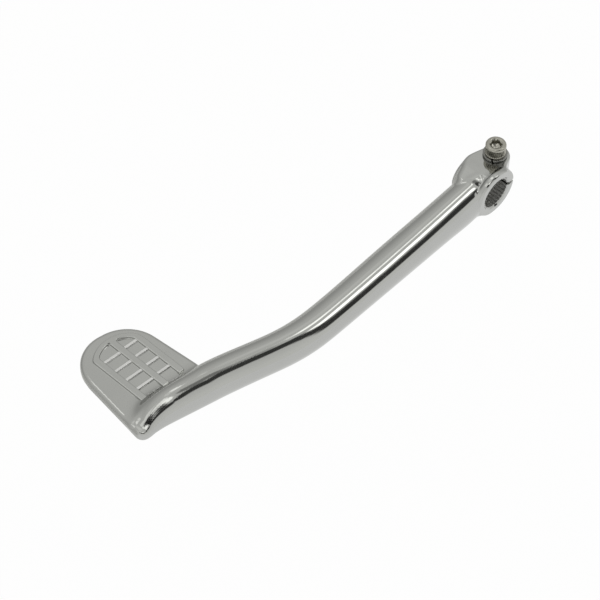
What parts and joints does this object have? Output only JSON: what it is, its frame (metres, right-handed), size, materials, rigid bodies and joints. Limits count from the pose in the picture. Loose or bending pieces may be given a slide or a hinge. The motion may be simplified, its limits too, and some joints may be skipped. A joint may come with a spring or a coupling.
{
  "type": "kick start lever",
  "caption": "Kick start lever: a clamp boss with a serrated shaft bore, a bent round arm and a foot pad with a raised tread, closed by a pinch bolt on a split washer.",
  "frame": {"origin": "on the shaft bore's axis, half way along the bore", "axes": "+X away from the arm, out through the clamp slit; +Y along the bore, outward from the engine, the way the foot pad reaches; +Z the way the tread and the bolt head face"},
  "size_m": [0.2291, 0.0782, 0.0304],
  "materials": {
    "plated_steel": "polished and chrome plated",
    "bolt_steel": "turned steel with a knurled head",
    "washer_steel": "plain spring steel"
  },
  "bodies": {
    "root": {"lever": "plated_steel", "pinch_bolt": "bolt_steel", "lock_washer": "washer_steel"}
  },
  "joints": []
}
